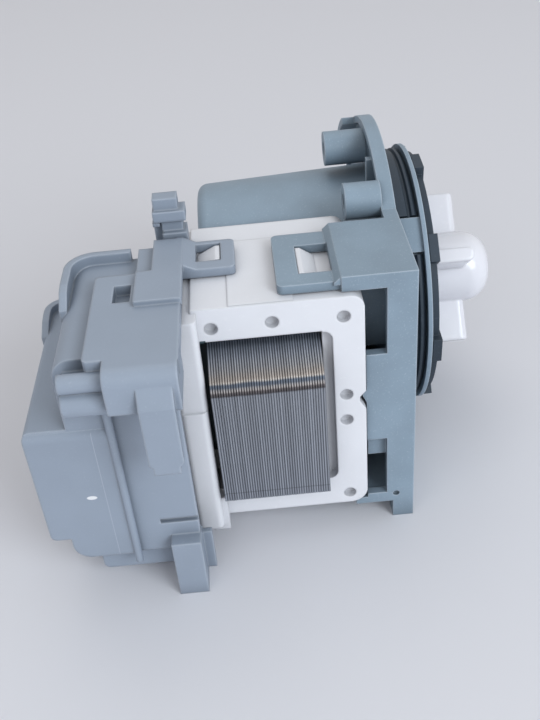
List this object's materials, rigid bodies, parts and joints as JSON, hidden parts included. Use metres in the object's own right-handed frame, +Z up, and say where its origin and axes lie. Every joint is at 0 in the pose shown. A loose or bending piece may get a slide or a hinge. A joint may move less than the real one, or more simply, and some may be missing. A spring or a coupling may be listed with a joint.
{
  "type": "washing machine drain pump",
  "caption": "Drain pump for a washing machine: a flange with a sealed spigot and a bladed impeller, a laminated stator in a white coil block, and a clip-on rear cover.",
  "frame": {"origin": "on the pump axis, in the middle of the width of the spigot's rim", "axes": "+X along the pump axis from the motor to the impeller, +Z up as the pump rests, +Y from the exposed core face to the shaft"},
  "size_m": [0.1155, 0.1224, 0.0808],
  "materials": {
    "front_plastic": "fine matt moulded plastic",
    "cover_plastic": "fine matt moulded plastic",
    "coil_white": "satin moulded plastic",
    "impeller_white": "glossy moulded plastic",
    "seal_rubber": "matt",
    "core_steel": "punched sheet edges, slightly rusted",
    "shaft_steel": "ground",
    "bush_brass": "sintered",
    "spade_brass": "bright",
    "winding_copper": "varnished",
    "magnet_ferrite": "matt"
  },
  "bodies": {
    "pump_body": {"front_housing": "front_plastic", "spigot_ring": "front_plastic", "rotor_can": "front_plastic", "rotor_hood": "front_plastic", "seal_ring": "seal_rubber", "face_gasket": "seal_rubber", "bearing_plate": "front_plastic", "front_bush": "bush_brass", "shaft_seal": "seal_rubber", "rear_cup": "seal_rubber", "rear_bush": "bush_brass", "stator_core": "core_steel", "coil_housing": "coil_white", "upper_bobbin": "coil_white", "lower_bobbin": "coil_white", "upper_winding": "winding_copper", "lower_winding": "winding_copper", "terminal_upper": "spade_brass", "terminal_lower": "spade_brass", "rear_cover": "cover_plastic"},
    "rotor": {"rotor_shaft": "shaft_steel", "rotor_sleeve": "impeller_white", "rotor_magnet": "magnet_ferrite", "rear_thrust_washer": "impeller_white", "front_thrust_washer": "impeller_white", "drive_dog": "impeller_white"},
    "impeller": {"impeller": "impeller_white", "hub_cover": "impeller_white", "stop_pad": "seal_rubber"}
  },
  "joints": [
    {"name": "rotor_spin", "type": "hinge", "parent": "pump_body", "child": "rotor", "pos_m": [0, 0, 0], "axis": [1, 0, 0], "continuous": true},
    {"name": "impeller_play", "type": "hinge", "parent": "rotor", "child": "impeller", "pos_m": [0, 0, 0], "axis": [1, 0, 0], "range_deg": [-160, 0]}
  ]
}
